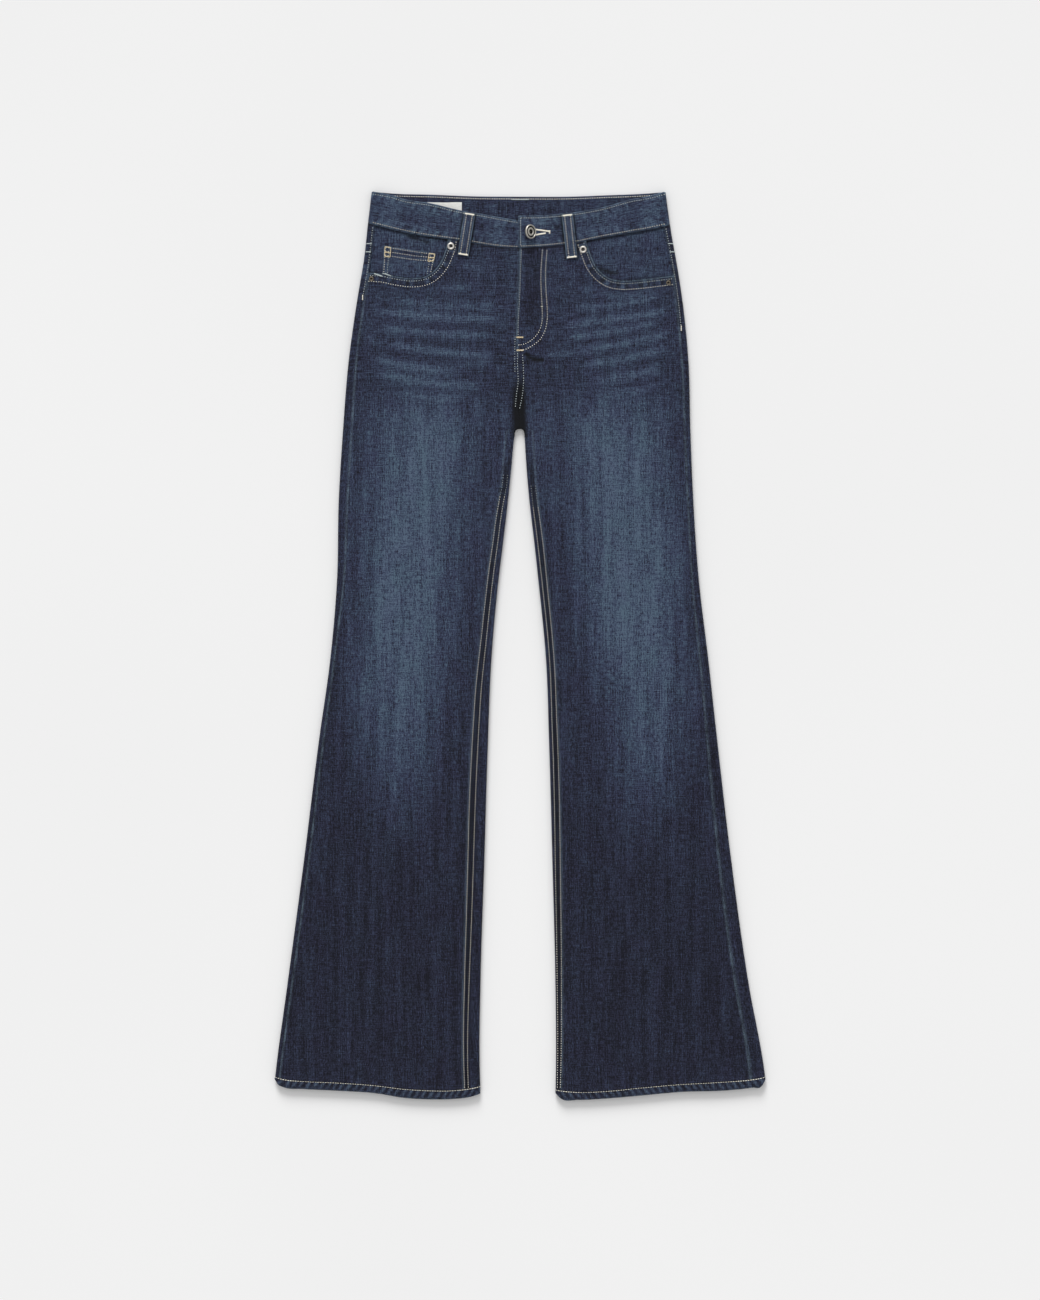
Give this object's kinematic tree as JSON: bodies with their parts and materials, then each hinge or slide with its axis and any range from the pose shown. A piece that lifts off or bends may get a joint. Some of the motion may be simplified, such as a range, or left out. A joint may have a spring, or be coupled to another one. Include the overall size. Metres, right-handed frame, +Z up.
{
  "type": "bootcut jeans",
  "caption": "Women's mid-rise bootcut jeans in washed dark denim, buttoned and laid flat with the front up.",
  "frame": {"origin": "middle of the laid garment's outline, on the surface it lies on", "axes": "+Y from the hems to the waist, +X to the right as seen from above, +Z up out of the front of the jeans"},
  "size_m": [0.5896, 1.091, 0.0224],
  "materials": {
    "denim": "washed indigo twill, matt",
    "pewter": "antiqued grey metal",
    "aged_copper": "aged copper",
    "thread": "cream polyester thread",
    "woven_label": "white woven ribbon, blank"
  },
  "bodies": {
    "root": {"front_left": "denim", "front_right": "denim", "back_left": "denim", "back_right": "denim", "yoke_left": "denim", "yoke_right": "denim", "waistband_left": "denim", "waistband_right": "denim", "pocket_facing_left": "denim", "pocket_facing_right": "denim", "coin_pocket": "denim", "back_pocket_left": "denim", "back_pocket_right": "denim", "belt_loop_front_left": "denim", "belt_loop_front_right": "denim", "belt_loop_back_left": "denim", "belt_loop_back_centre": "denim", "belt_loop_back_right": "denim", "hem_left": "denim", "hem_right": "denim", "button": "pewter", "rivet_front_left": "pewter", "rivet_front_right": "pewter", "rivet_side_left": "aged_copper", "rivet_side_right": "aged_copper", "label": "woven_label"}
  },
  "joints": []
}
